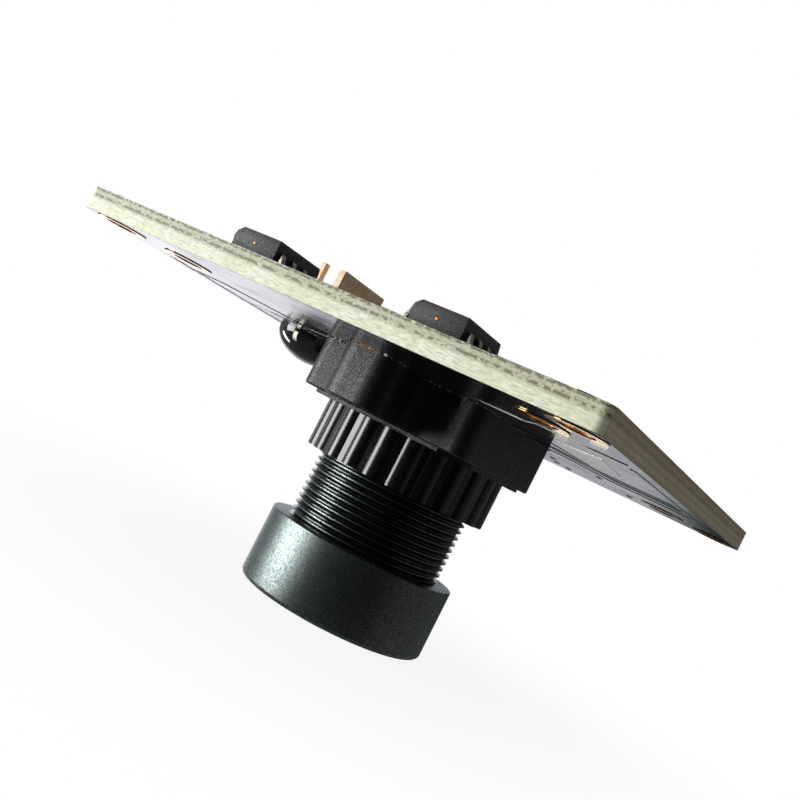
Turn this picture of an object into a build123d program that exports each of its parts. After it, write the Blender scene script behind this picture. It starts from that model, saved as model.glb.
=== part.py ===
from build123d import *
import math
import os

# A board-level camera module, standing lens down on the flat front rim of its lens barrel.
# The origin is the middle of that rim. +Z runs up the lens axis to the back of the board,
# +X along the front edge of the board and +Y away from it. All lengths are in millimetres.

# Fits
slip = 0.05                      # radial play between a round piece and its bore
overrun = 1.0                    # how far a cut passes the face it opens
quarter_turn = 90.0

# Lens barrel
head_radius = 7.25
head_height = 5.35
head_edge_round = 0.35
head_back_break = 0.15
thread_radius = 6.0
thread_shown = 5.1               # thread between the head and the lock ring
thread_in_holder = 1.75
thread_end_break = 0.3
hood_mouth_radius = 6.2
hood_depth = 1.4
rear_bore_radius = 4.0
shoulder_thickness = 1.0

# Lenses, spacers and filter in the barrel
lens_radius = 4.5
lens_opening_radius = 3.2
retaining_ring_radius = 4.9
retaining_ring_thickness = 0.8
retaining_ring_opening = 3.9
front_lens_edge = 1.0
front_lens_bulge_height = 0.9
front_lens_hollow_depth = 0.95
front_spacer_height = 1.4
middle_lens_edge = 1.2
middle_lens_front_bulge_height = 0.75
middle_lens_rear_bulge_height = 0.4
stop_spacer_height = 2.0
stop_opening_radius = 1.6
stop_thickness = 0.3
rear_lens_edge = 1.8
rear_lens_hollow_depth = 0.5
rear_lens_bulge_height = 0.7
filter_radius = 4.7
filter_thickness = 0.5

# Lock ring
ring_height = 3.55
ring_valley_radius = 6.9
ring_lobe_centre_radius = 6.2
ring_lobe_radius = 0.95
ring_lobes = 24

# Lens holder
holder_width = 14.5
holder_depth = 13.2
holder_height = 3.75
holder_plateau = 0.25
holder_plateau_radius = 8.3
holder_edge_round = 0.18
holder_corner_radius = 1.1
ear_width = 4.8
ear_reach = 11.2
ear_corner_radius = 1.6
ear_root_share = 0.5             # of the straight side of an ear, taken by the hollow at its root
sensor_room_width = 11.0
sensor_room_corner = 2.0
sensor_room_height = 1.9
ear_screw_inset = 2.2            # from the tip of an ear to the middle of its screw

# Circuit board
board_width = 40.0
board_depth = 40.0
board_thickness = 1.6
board_corner_radius = 0.6

# Mounting holes, two at each corner, with plated eyelets
outer_hole_inset = 2.0
inner_hole_inset = 5.5
mounting_hole_radius = 1.1
eyelet_wall = 0.08
eyelet_pad_radius = 1.8
eyelet_pad_thickness = 0.06

# Gold pads under the ears of the holder
ear_pad_margin = 0.15
ear_pad_length = 4.0
ear_pad_thickness = 0.05

# Screws that hold the lens holder
screw_radius = 0.95
screw_hole_play = 0.1
screw_depth_in_ear = 2.6
screw_tip_length = 0.5
screw_pilot_spare = 0.3
screw_head_radius = 1.75
screw_head_height = 1.05
screw_head_round = 0.45
screw_slot_length = 1.9
screw_slot_width = 0.5
screw_slot_depth = 0.6

# Image sensor
sensor_width = 7.0
sensor_depth = 6.5
sensor_height = 0.8
sensor_wall = 0.7
sensor_floor = 0.3
die_width = 4.8
die_depth = 3.6
die_thickness = 0.25
cover_glass_thickness = 0.4
cover_glass_inset = 0.25

# Epoxy dome on the lens side
dome_edge_inset = 4.25           # from the -X edge of the board to the middle of the dome
dome_y = 4.1
dome_radius = 3.25
dome_height = 2.2

# Small-outline chips near the front edge
chip_width = 3.9
chip_length = 4.9
chip_height = 1.55
chip_standoff = 0.2
chip_bevel = 0.35
chip_draft_deg = 7.0
chip_lead_pitch = 1.27
chip_lead_span = 6.0
chip_lead_width = 0.42
chip_lead_thickness = 0.2
chip_lead_foot = 0.65
chip_lead_shoulder = 0.3
chip_leads_per_side = 4
tie_bar_width = 0.45
tie_bar_height = 0.18
tie_bar_stub = 0.05
left_chip_share = -0.375         # places of the two chips along X, in half board widths
right_chip_share = 0.36
chip_front_inset = 3.0           # from the front edge of the board to the chip body

# Cable connector
connector_edge_inset = 6.15      # from the -X edge of the board to the middle of the housing
connector_front_y = -0.55
connector_width = 2.6
connector_length = 6.6
connector_height = 4.15
connector_base = 1.0
connector_wall = 0.6
connector_post_width = 0.45
connector_post_length = 0.6
connector_sill_height = 1.9
connector_sill_thickness = 0.45
connector_rim_break = 0.2
contact_count = 4
contact_pitch = 1.25
contact_size = 0.32
contact_height = 3.4
contact_tail = 0.9
contact_tail_thickness = 0.2
contact_offset = 0.1             # contacts stand this far from the middle, towards the wall
connector_tab_length = 1.3
connector_tab_reach = 0.8
connector_tab_thickness = 0.2

# Image processor behind the sensor
processor_size = 7.0
processor_height = 1.4
processor_standoff = 0.1
processor_dot_inset = 1.2
processor_dot_radius = 0.4
processor_dot_depth = 0.08
processor_lead_pitch = 0.5
processor_leads_per_side = 12
processor_lead_span = 9.0
processor_lead_width = 0.22
processor_lead_thickness = 0.13
processor_lead_foot = 0.5
processor_lead_shoulder = 0.2

# Voltage regulator
regulator_place_shares = (2.13, -0.98)
regulator_width = 1.6
regulator_length = 2.9
regulator_height = 1.05
regulator_standoff = 0.1
regulator_lead_pitch = 0.95
regulator_leads_per_side = 3
regulator_lead_span = 2.8
regulator_lead_width = 0.4
regulator_lead_thickness = 0.14
regulator_lead_foot = 0.3
regulator_lead_shoulder = 0.08

# Clock crystal
crystal_place_shares = (1.78, 2.0)
crystal_length = 5.0
crystal_width = 3.2
crystal_base = 0.4
crystal_lid = 0.7
crystal_lid_inset = 0.3
crystal_corner = 0.5

# Ceramic capacitors and resistors with metal end caps
small_capacitor_length = 1.6
small_capacitor_width = 0.8
small_capacitor_height = 0.8
resistor_length = 1.6
resistor_width = 0.8
resistor_height = 0.45
edge_capacitor_length = 4.5
edge_capacitor_width = 2.0
edge_capacitor_height = 1.15
edge_capacitor_inset = 4.1       # from the +X edge of the board to the middle of the piece
edge_capacitor_y = 4.55
end_cap_share = 0.2              # of the length of such a piece, at each end
end_cap_wall = 0.03

# Places of the small pieces around the processor, in half spans of its leads, with a quarter
# turn where the last entry is 1
capacitor_place_shares = [
    (-1.47, 0.53, 1), (-1.47, -0.44, 1), (-1.16, -1.60, 0), (1.07, -1.60, 0), (1.42, 0.18, 1),
    (1.42, -0.44, 1), (2.80, -0.71, 1), (2.80, -1.42, 1), (0.80, 1.47, 0), (-1.02, 1.47, 0),
]
resistor_place_shares = [
    (-2.22, -0.64, 1), (-2.22, -1.38, 1), (-1.96, 1.96, 0), (-1.07, 2.44, 0), (1.20, 2.84, 0),
    (-1.69, 2.84, 0), (1.76, 2.84, 0), (2.80, -0.04, 1),
]

# Heights that follow from the stack of pieces
ring_front = head_height + thread_shown
holder_front = ring_front + ring_height
board_front = holder_front + holder_plateau + holder_height
board_back = board_front + board_thickness
barrel_end = holder_front + thread_in_holder
front_lens_z = hood_depth + retaining_ring_thickness
front_spacer_z = front_lens_z + front_lens_edge
middle_lens_z = front_spacer_z + front_spacer_height
stop_spacer_z = middle_lens_z + middle_lens_edge
rear_lens_z = stop_spacer_z + stop_spacer_height
shoulder_z = rear_lens_z + rear_lens_edge
rear_bore_z = shoulder_z + shoulder_thickness
filter_z = barrel_end - filter_thickness
left_chip_x = left_chip_share * board_width / 2
right_chip_x = right_chip_share * board_width / 2
ear_root_radius = ear_root_share * (ear_reach - ear_corner_radius - holder_depth / 2)
ear_screw_y = ear_reach - ear_screw_inset
chip_y = chip_front_inset + chip_length / 2 - board_depth / 2
dome_x = dome_edge_inset - board_width / 2
connector_x = connector_edge_inset - board_width / 2
edge_capacitor_x = board_width / 2 - edge_capacitor_inset

on_top = (Align.CENTER, Align.CENTER, Align.MIN)
below = (Align.CENTER, Align.CENTER, Align.MAX)


def turned(*outline):
    """A solid of revolution about Z from a closed outline of (radius, height) points and edges."""
    edges = Polyline(*outline, close=True)
    return revolve(Plane.XZ * make_face(edges), Axis.Z)


def tube(outer, inner, low, high):
    """A plain round tube or ring."""
    return turned((inner, low), (outer, low), (outer, high), (inner, high))


def corner_places(inset):
    """The four places at one inset from the edges of the board."""
    return [
        (side * (board_width / 2 - inset), end * (board_depth / 2 - inset))
        for side in (-1, 1)
        for end in (-1, 1)
    ]


def screw_places():
    return [(0, end * ear_screw_y) for end in (-1, 1)]


def around_processor(shares):
    """A place given in half spans of the processor's leads, so that the small pieces keep clear."""
    return Pos(shares[0] * processor_lead_span / 2, shares[1] * processor_lead_span / 2, 0)


def save(name, *solids):
    """Writes one node, a single solid or a group of like solids."""
    whole = solids[0] if len(solids) == 1 else Compound(children=list(solids))
    export_step(whole, os.path.join("parts", name + ".step"))


# Circuit board and its plating

def circuit_board():
    plate = extrude(RectangleRounded(board_width, board_depth, board_corner_radius), board_thickness)
    board = Pos(0, 0, board_front) * plate
    for inset in (outer_hole_inset, inner_hole_inset):
        for x, y in corner_places(inset):
            board -= Pos(x, y, board_front - overrun) * Cylinder(
                mounting_hole_radius + eyelet_wall, board_thickness + 2 * overrun, align=on_top
            )
    for x, y in screw_places():
        board -= Pos(x, y, board_front - overrun) * Cylinder(
            screw_radius + screw_hole_play, board_thickness + 2 * overrun, align=on_top
        )
    return board


def eyelet(x, y):
    """Plated wall of one hole with a flat ring on each face of the board."""
    wall = mounting_hole_radius + eyelet_wall
    low = board_front - eyelet_pad_thickness
    high = board_back + eyelet_pad_thickness
    profile = turned(
        (mounting_hole_radius, low), (eyelet_pad_radius, low), (eyelet_pad_radius, board_front),
        (wall, board_front), (wall, board_back), (eyelet_pad_radius, board_back),
        (eyelet_pad_radius, high), (mounting_hole_radius, high),
    )
    return Pos(x, y, 0) * profile


def ear_pad_middle(end):
    return end * (ear_reach + ear_pad_margin - ear_pad_length / 2)


def ear_pad(end):
    """Gold pad that shows as a thin line past the end of one ear."""
    outline = RectangleRounded(
        ear_width + 2 * ear_pad_margin, ear_pad_length, ear_corner_radius
    )
    place = Pos(0, ear_pad_middle(end), board_front - ear_pad_thickness)
    pad = place * extrude(outline, ear_pad_thickness)
    hole = Pos(0, end * ear_screw_y, board_front) * Cylinder(
        screw_radius + screw_hole_play, 2 * overrun
    )
    return pad - hole


# Lens holder and its screws

def holder_outline():
    """Round-cornered body with an ear at the front and back, and hollow corners between them."""
    body = RectangleRounded(holder_width, holder_depth, holder_corner_radius)
    ears = RectangleRounded(ear_width, 2 * ear_reach, ear_corner_radius)
    outline = body + ears
    roots = [
        v for v in outline.vertices()
        if math.isclose(abs(v.X), ear_width / 2, abs_tol=slip)
        and math.isclose(abs(v.Y), holder_depth / 2, abs_tol=slip)
    ]
    return fillet(roots, ear_root_radius)


def lens_holder():
    low = holder_front + holder_plateau
    seat = low + holder_height
    base = Pos(0, 0, low) * extrude(holder_outline(), holder_height)
    base = fillet(base.edges().group_by(Axis.Z)[0], holder_edge_round)
    plateau_outline = Rectangle(
        holder_width - 2 * holder_edge_round, holder_depth - 2 * holder_edge_round
    ) & Circle(holder_plateau_radius)
    plateau = Pos(0, 0, holder_front) * extrude(plateau_outline, holder_plateau + holder_edge_round)
    room_floor = seat - sensor_room_height
    bore = Pos(0, 0, holder_front - overrun) * Cylinder(
        thread_radius + slip, room_floor - holder_front + overrun, align=on_top
    )
    room = Pos(0, 0, room_floor) * extrude(
        RectangleRounded(sensor_room_width, sensor_room_width, sensor_room_corner),
        sensor_room_height + overrun,
    )
    holder = base + plateau - bore - room
    pilot_depth = screw_depth_in_ear + screw_pilot_spare
    for end, (x, y) in zip((-1, 1), screw_places()):
        holder -= Pos(x, y, seat + overrun) * Cylinder(
            screw_radius + slip, pilot_depth + overrun, align=below
        )
        holder -= Pos(0, ear_pad_middle(end), seat - ear_pad_thickness) * Box(
            ear_width + 2 * ear_pad_margin, ear_pad_length, overrun, align=on_top
        )
    return holder


def holder_screw(x, y):
    """Pan-head screw with a cross recess, driven from the back of the board."""
    tip = board_front - screw_depth_in_ear
    top = board_back + screw_head_height
    edges = [
        Polyline(
            (0, tip), (screw_radius - screw_tip_length / 2, tip), (screw_radius, tip + screw_tip_length),
            (screw_radius, board_back), (screw_head_radius, board_back),
            (screw_head_radius, top - screw_head_round),
        ),
        RadiusArc(
            (screw_head_radius, top - screw_head_round),
            (screw_head_radius - screw_head_round, top),
            -screw_head_round,
        ),
        Polyline((screw_head_radius - screw_head_round, top), (0, top), (0, tip)),
    ]
    screw = revolve(Plane.XZ * make_face(edges), Axis.Z)
    for turn in (0, quarter_turn):
        screw -= Pos(0, 0, top - screw_slot_depth) * Rot(0, 0, turn) * Box(
            screw_slot_length, screw_slot_width, screw_slot_depth + overrun, align=on_top
        )
    return Pos(x, y, 0) * screw


# Lock ring

def lock_ring():
    """Ring nut with a row of rounded lobes for the fingers and narrow flat valleys between them."""
    outline = Circle(ring_valley_radius)
    outline += PolarLocations(ring_lobe_centre_radius, ring_lobes) * Circle(ring_lobe_radius)
    outline -= Circle(thread_radius + slip)
    return Pos(0, 0, ring_front) * extrude(outline, ring_height)


# Lens barrel and what it carries

def lens_barrel():
    """One turned piece: wide hooded head, thread, stepped bore with a shoulder for the lenses."""
    lens_bore = lens_radius + slip
    ring_bore = retaining_ring_radius + slip
    filter_bore = filter_radius + slip
    edges = [
        RadiusArc((head_radius - head_edge_round, 0), (head_radius, head_edge_round), -head_edge_round),
        Polyline(
            (head_radius, head_edge_round),
            (head_radius, head_height - head_back_break),
            (head_radius - head_back_break, head_height),
            (thread_radius, head_height),
            (thread_radius, barrel_end - thread_end_break),
            (thread_radius - thread_end_break, barrel_end),
            (filter_bore, barrel_end),
            (filter_bore, filter_z),
            (rear_bore_radius, filter_z),
            (rear_bore_radius, rear_bore_z),
            (lens_opening_radius + slip, rear_bore_z),
            (lens_opening_radius + slip, shoulder_z),
            (lens_bore, shoulder_z),
            (lens_bore, front_lens_z),
            (ring_bore, front_lens_z),
            (ring_bore, hood_depth),
            (hood_mouth_radius, 0),
            (head_radius - head_edge_round, 0),
        ),
    ]
    return revolve(Plane.XZ * make_face(edges), Axis.Z)


def domed_edge(z, bulge):
    """Arc from the axis to the edge of the clear opening; bulge is measured along +Z."""
    ball = (lens_opening_radius ** 2 + bulge ** 2) / (2 * abs(bulge))
    halfway = lens_opening_radius / 2
    drop = math.copysign(ball - math.sqrt(ball ** 2 - halfway ** 2), bulge)
    return ThreePointArc((0, z + bulge), (halfway, z + bulge - drop), (lens_opening_radius, z))


def lens(z, edge, front, rear):
    """Ground lens with a flat rim; front and rear give how far each face departs along +Z."""
    outline = [
        domed_edge(z, front),
        Polyline((lens_opening_radius, z), (lens_radius, z), (lens_radius, z + edge),
                 (lens_opening_radius, z + edge)),
        domed_edge(z + edge, rear),
        Line((0, z + edge + rear), (0, z + front)),
    ]
    return revolve(Plane.XZ * make_face(outline), Axis.Z)


def stop_spacer():
    """Spacer with the aperture stop at its middle."""
    middle = stop_spacer_z + stop_spacer_height / 2
    low = middle - stop_thickness / 2
    high = middle + stop_thickness / 2
    top = stop_spacer_z + stop_spacer_height
    opening = lens_opening_radius + slip
    return turned(
        (opening, stop_spacer_z), (lens_radius, stop_spacer_z), (lens_radius, top), (opening, top),
        (opening, high), (stop_opening_radius, high), (stop_opening_radius, low), (opening, low),
    )


# Image sensor

def sensor_package():
    """Open ceramic tray, mouth towards the lens."""
    mouth = board_front - sensor_height
    tray = Pos(0, 0, mouth) * Box(sensor_width, sensor_depth, sensor_height, align=on_top)
    hollow = Pos(0, 0, mouth - overrun) * Box(
        sensor_width - 2 * sensor_wall, sensor_depth - 2 * sensor_wall,
        sensor_height - sensor_floor + overrun, align=on_top,
    )
    return tray - hollow


def sensor_die():
    return Pos(0, 0, board_front - sensor_floor) * Box(die_width, die_depth, die_thickness, align=below)


def sensor_cover_glass():
    glass = Box(
        sensor_width - 2 * cover_glass_inset, sensor_depth - 2 * cover_glass_inset,
        cover_glass_thickness, align=below,
    )
    return Pos(0, 0, board_front - sensor_height) * glass


# Epoxy dome

def epoxy_dome():
    """Drop of hardened epoxy with the outline of a half ellipse, hanging below the board."""
    edges = [
        EllipticalCenterArc(
            (0, board_front), dome_radius, dome_height, -quarter_turn, arc_size=quarter_turn
        ),
        Polyline((dome_radius, board_front), (0, board_front), (0, board_front - dome_height)),
    ]
    return Pos(dome_x, dome_y, 0) * revolve(Plane.XZ * make_face(edges), Axis.Z)


# Moulded chips with gull-wing leads

def moulded_body(width, length, height, standoff):
    """Chip body with draft above and below its parting line, standing on the back of the board."""
    middle = board_back + standoff + height / 2
    section = Rectangle(width, length)
    halves = [extrude(section, side * height / 2, taper=chip_draft_deg) for side in (-1, 1)]
    return Pos(0, 0, middle) * (halves[0] + halves[1])


def gull_lead(body_half, parting, tip, foot, shoulder, thickness, width):
    """One lead: out of the parting line, down, and along the board, running towards +X."""
    knee = body_half + shoulder
    heel = tip - foot
    low = parting - thickness / 2
    high = parting + thickness / 2
    side = Polyline(
        (body_half, low), (knee, low), (heel, 0), (tip, 0), (tip, thickness),
        (heel + thickness, thickness), (knee + thickness, high), (body_half, high), close=True,
    )
    face = Plane.XZ * make_face(side)
    return Pos(0, 0, board_back) * extrude(face, width / 2, both=True)


def lead_row(lead, count, pitch, turn):
    """Copies of a lead along one side of a chip."""
    first = -(count - 1) / 2
    return [Rot(0, 0, turn) * Pos(0, (first + i) * pitch, 0) * lead for i in range(count)]


def small_outline_body(x):
    body = moulded_body(chip_width, chip_length, chip_height, chip_standoff)
    edge = body.edges().group_by(Axis.Z)[-1].sort_by(Axis.X)[0]
    return Pos(x, chip_y, 0) * chamfer(edge, chip_bevel)


def small_outline_leads(x):
    """Leads on both long sides and the cut ends of the tie bar on both end faces."""
    parting = chip_standoff + chip_height / 2
    lead = gull_lead(
        chip_width / 2, parting, chip_lead_span / 2, chip_lead_foot, chip_lead_shoulder,
        chip_lead_thickness, chip_lead_width,
    )
    leads = lead_row(lead, chip_leads_per_side, chip_lead_pitch, 0)
    leads += lead_row(lead, chip_leads_per_side, chip_lead_pitch, 2 * quarter_turn)
    stub = Box(tie_bar_width, tie_bar_stub, tie_bar_height)
    for end in (-1, 1):
        leads.append(
            Pos(0, end * (chip_length / 2 + tie_bar_stub / 2), board_back + parting) * stub
        )
    return [Pos(x, chip_y, 0) * piece for piece in leads]


def processor_chip():
    body = moulded_body(processor_size, processor_size, processor_height, processor_standoff)
    mark = processor_size / 2 - processor_dot_inset
    top = board_back + processor_standoff + processor_height
    dot = Pos(-mark, -mark, top) * Cylinder(processor_dot_radius, 2 * processor_dot_depth)
    return body - dot


def processor_leads():
    lead = gull_lead(
        processor_size / 2, processor_standoff + processor_height / 2, processor_lead_span / 2,
        processor_lead_foot, processor_lead_shoulder, processor_lead_thickness, processor_lead_width,
    )
    return [
        piece
        for side in range(4)
        for piece in lead_row(
            lead, processor_leads_per_side, processor_lead_pitch, side * quarter_turn
        )
    ]


def regulator_chip():
    body = moulded_body(regulator_width, regulator_length, regulator_height, regulator_standoff)
    return around_processor(regulator_place_shares) * body


def regulator_leads():
    """Three leads on one side and two, the outer ones, on the other."""
    lead = gull_lead(
        regulator_width / 2, regulator_standoff + regulator_height / 2, regulator_lead_span / 2,
        regulator_lead_foot, regulator_lead_shoulder, regulator_lead_thickness, regulator_lead_width,
    )
    leads = lead_row(lead, regulator_leads_per_side, regulator_lead_pitch, 0)
    opposite = lead_row(lead, regulator_leads_per_side, regulator_lead_pitch, 2 * quarter_turn)
    leads += [opposite[0], opposite[-1]]
    return [around_processor(regulator_place_shares) * piece for piece in leads]


# Clock crystal

def clock_crystal():
    """Ceramic base with a welded metal lid, slightly smaller."""
    base = extrude(
        RectangleRounded(crystal_length, crystal_width, crystal_corner), crystal_base
    )
    lid = extrude(
        RectangleRounded(
            crystal_length - 2 * crystal_lid_inset, crystal_width - 2 * crystal_lid_inset, crystal_corner
        ),
        crystal_lid,
    )
    lidded = Pos(0, 0, board_back) * (base + Pos(0, 0, crystal_base) * lid)
    return around_processor(crystal_place_shares) * lidded


# Capacitors and resistors

def end_capped(length, width, height):
    """Body and two wrapped metal ends of a small surface-mounted piece, lying along X."""
    cap_length = end_cap_share * length
    body = Pos(0, 0, end_cap_wall) * Box(
        length - 2 * end_cap_wall, width - 2 * end_cap_wall, height - 2 * end_cap_wall, align=on_top
    )
    caps = []
    for end in (-1, 1):
        block = Pos(end * (length - cap_length) / 2, 0, 0) * Box(
            cap_length, width, height, align=on_top
        )
        caps.append(block - body)
    return body, caps


def spread(places, length, width, height):
    """The bodies and the end caps of all pieces of one size."""
    bodies, caps = [], []
    body, ends = end_capped(length, width, height)
    for x_share, y_share, turned_quarter in places:
        place = around_processor((x_share, y_share)) * Pos(0, 0, board_back)
        place = place * Rot(0, 0, quarter_turn * turned_quarter)
        bodies.append(place * body)
        caps += [place * end for end in ends]
    return bodies, caps


# Cable connector

def connector_place():
    return Pos(connector_x, connector_front_y + connector_length / 2, board_back)


def connector_housing():
    """Open nylon shell: base, one full side wall, two corner posts and low end sills."""
    shell = Box(connector_width, connector_length, connector_base, align=on_top)
    wall_x = (connector_width - connector_wall) / 2
    wall = Pos(wall_x, 0, 0) * Box(connector_wall, connector_length, connector_height, align=on_top)
    wall = chamfer(
        wall.edges().group_by(Axis.Z)[-1].group_by(Axis.X)[0].filter_by(Axis.Y), connector_rim_break
    )
    shell += wall
    for end in (-1, 1):
        shell += Pos(
            -(connector_width - connector_post_width) / 2,
            end * (connector_length - connector_post_length) / 2,
            0,
        ) * Box(connector_post_width, connector_post_length, connector_height, align=on_top)
        shell += Pos(0, end * (connector_length - connector_sill_thickness) / 2, 0) * Box(
            connector_width, connector_sill_thickness, connector_sill_height, align=on_top
        )
    for y in contact_rows():
        shell -= Pos(contact_offset, y, 0) * Box(contact_size, contact_size, 2 * connector_height)
        shell -= Pos(contact_offset, y, 0) * Box(
            connector_width + 2 * overrun, contact_size, 2 * contact_tail_thickness,
            align=(Align.MAX, Align.CENTER, Align.CENTER),
        )
    return connector_place() * shell


def contact_rows():
    return [(i - (contact_count - 1) / 2) * contact_pitch for i in range(contact_count)]


def connector_pins():
    """Square contacts that stand in the base, each with a flat tail out on the open side."""
    tail_tip = connector_width / 2 + contact_tail
    pins = []
    for y in contact_rows():
        post = Pos(contact_offset, y, 0) * Box(contact_size, contact_size, contact_height, align=on_top)
        tail = Pos(contact_offset, y, 0) * Box(
            tail_tip + contact_offset, contact_size, contact_tail_thickness,
            align=(Align.MAX, Align.CENTER, Align.MIN),
        )
        pins.append(connector_place() * (post + tail))
    return pins


def connector_tabs():
    """Solder tabs, bent out flat at both ends of the housing."""
    tabs = []
    for end in (-1, 1):
        foot = Box(
            connector_tab_length, connector_tab_reach, connector_tab_thickness, align=on_top
        )
        riser = Box(
            connector_tab_length, connector_tab_thickness, connector_base, align=on_top
        )
        outer = connector_length / 2
        tab = Pos(0, end * (outer + connector_tab_reach / 2), 0) * foot
        tab += Pos(0, end * (outer + connector_tab_thickness / 2), 0) * riser
        tabs.append(connector_place() * tab)
    return tabs


os.makedirs("parts", exist_ok=True)
save("circuit_board", circuit_board())
save(
    "mounting_hole_plating",
    *[eyelet(x, y) for inset in (outer_hole_inset, inner_hole_inset) for x, y in corner_places(inset)],
)
save("holder_pads", *[ear_pad(end) for end in (-1, 1)])
save("lens_holder", lens_holder())
save("holder_screws", *[holder_screw(x, y) for x, y in screw_places()])
save("lock_ring", lock_ring())
save("lens_barrel", lens_barrel())
save("front_retaining_ring", tube(retaining_ring_radius, retaining_ring_opening, hood_depth, front_lens_z))
save("front_lens", lens(front_lens_z, front_lens_edge, -front_lens_bulge_height, -front_lens_hollow_depth))
save("front_spacer", tube(lens_radius, lens_opening_radius + slip, front_spacer_z, middle_lens_z))
save(
    "middle_lens",
    lens(
        middle_lens_z, middle_lens_edge,
        -middle_lens_front_bulge_height, middle_lens_rear_bulge_height,
    ),
)
save("stop_spacer", stop_spacer())
save("rear_lens", lens(rear_lens_z, rear_lens_edge, rear_lens_hollow_depth, rear_lens_bulge_height))
save("ir_cut_filter", Pos(0, 0, filter_z) * Cylinder(filter_radius, filter_thickness, align=on_top))
save("sensor_package", sensor_package())
save("sensor_die", sensor_die())
save("sensor_cover_glass", sensor_cover_glass())
save("epoxy_dome", epoxy_dome())
save("left_chip", small_outline_body(left_chip_x))
save("left_chip_leads", *small_outline_leads(left_chip_x))
save("right_chip", small_outline_body(right_chip_x))
save("right_chip_leads", *small_outline_leads(right_chip_x))
save("connector_housing", connector_housing())
save("connector_pins", *connector_pins())
save("connector_tabs", *connector_tabs())
save("processor_chip", processor_chip())
save("processor_leads", *processor_leads())
save("regulator_chip", regulator_chip())
save("regulator_leads", *regulator_leads())
save("clock_crystal", clock_crystal())

small_sizes = (small_capacitor_length, small_capacitor_width, small_capacitor_height)
capacitor_bodies, capacitor_ends = spread(capacitor_place_shares, *small_sizes)
save("ceramic_capacitors", *capacitor_bodies)
save("capacitor_caps", *capacitor_ends)
resistor_bodies, resistor_ends = spread(
    resistor_place_shares, resistor_length, resistor_width, resistor_height
)
save("chip_resistors", *resistor_bodies)
save("resistor_caps", *resistor_ends)
edge_body, edge_ends = end_capped(edge_capacitor_length, edge_capacitor_width, edge_capacitor_height)
edge_place = Pos(edge_capacitor_x, edge_capacitor_y, board_back) * Rot(0, 0, quarter_turn)
save("edge_capacitor", edge_place * edge_body)
save("edge_capacitor_caps", *[edge_place * end for end in edge_ends])
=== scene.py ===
import bpy
import bmesh
import math
import random
from mathutils import Matrix, Vector


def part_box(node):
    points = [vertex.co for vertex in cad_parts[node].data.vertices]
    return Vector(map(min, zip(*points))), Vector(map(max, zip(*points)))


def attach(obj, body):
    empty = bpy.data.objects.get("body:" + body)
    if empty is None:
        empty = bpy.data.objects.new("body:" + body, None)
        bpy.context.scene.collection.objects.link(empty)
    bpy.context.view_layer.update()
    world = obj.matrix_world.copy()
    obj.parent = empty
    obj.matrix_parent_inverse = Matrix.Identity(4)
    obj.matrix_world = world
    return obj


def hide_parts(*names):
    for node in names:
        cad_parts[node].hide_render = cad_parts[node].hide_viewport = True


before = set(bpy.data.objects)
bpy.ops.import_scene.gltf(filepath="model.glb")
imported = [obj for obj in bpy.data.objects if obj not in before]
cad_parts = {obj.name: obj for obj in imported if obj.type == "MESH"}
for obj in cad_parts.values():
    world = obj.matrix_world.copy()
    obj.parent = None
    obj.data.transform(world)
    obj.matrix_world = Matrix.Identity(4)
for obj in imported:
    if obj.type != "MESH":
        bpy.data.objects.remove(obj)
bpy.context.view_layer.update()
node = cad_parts

# Camera: low beside the board's front right corner, a little under the level of the board,
# and rolled so that the module leans to the left in the picture.
camera_place = Vector((0.036692, -0.065145, 0.013470))
camera_right = Vector((0.77037815, 0.44833924, 0.45333148))
camera_down = Vector((0.37052121, 0.26382108, -0.89056862))
camera_lens = 45.418
film_width = 36.0

camera = bpy.data.objects.new("camera", bpy.data.cameras.new("camera"))
bpy.context.scene.collection.objects.link(camera)
camera.data.sensor_width = film_width
camera.data.lens = camera_lens
camera.data.clip_start = 0.005
camera.data.clip_end = 5.0
turn = Matrix((camera_right, -camera_down, camera_right.cross(-camera_down))).transposed()
camera.matrix_world = Matrix.Translation(camera_place) @ turn.to_4x4()
bpy.context.scene.camera = camera
bpy.context.scene.view_settings.view_transform = "Standard"


# Circuit board: a square of glass-epoxy laminate with glossy black solder mask on both faces.
# It was routed out of a panel, so the cut edges are bare: cream resin, with the ends of the
# glass cloth in rows along it and a mottled line where the mask chipped at the back.
mm = 0.001
board_low, board_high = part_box("circuit_board")
board_middle = (board_low.z + board_high.z) / 2
board_half = (board_high.z - board_low.z) / 2
mask_depth = 0.02 * mm


def tint(red, green, blue):
    """A colour as a paint maker gives it, in the light units that the shaders use."""
    def light(part):
        part = part / 255
        return part / 12.92 if part <= 0.04045 else ((part + 0.055) / 1.055) ** 2.4
    return (light(red), light(green), light(blue), 1.0)


class Value:
    """A number that varies over a surface. Sums and products of it add their own nodes."""

    def __init__(self, finish, socket):
        self.finish = finish
        self.socket = socket

    def worked(self, operation, *terms):
        return self.finish.node("ShaderNodeMath", {"operation": operation}, dict(enumerate(terms)))

    def __add__(self, other):
        return self.worked("ADD", self, other)

    __radd__ = __add__

    def __sub__(self, other):
        return self.worked("SUBTRACT", self, other)

    def __rsub__(self, other):
        return self.worked("SUBTRACT", other, self)

    def __mul__(self, other):
        return self.worked("MULTIPLY", self, other)

    __rmul__ = __mul__

    def __truediv__(self, other):
        return self.worked("DIVIDE", self, other)

    def size(self):
        return self.worked("ABSOLUTE", self)

    def wave(self):
        return self.worked("SINE", self)

    def most(self, other):
        return self.worked("MAXIMUM", self, other)

    def ramp(self, low, high, start=0.0, end=1.0):
        """Goes smoothly from start to end while the value goes from low to high, then stays."""
        return self.finish.node(
            "ShaderNodeMapRange",
            {"interpolation_type": "SMOOTHSTEP", "clamp": True},
            {"Value": self, "From Min": low, "From Max": high, "To Min": start, "To Max": end},
        )


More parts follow.
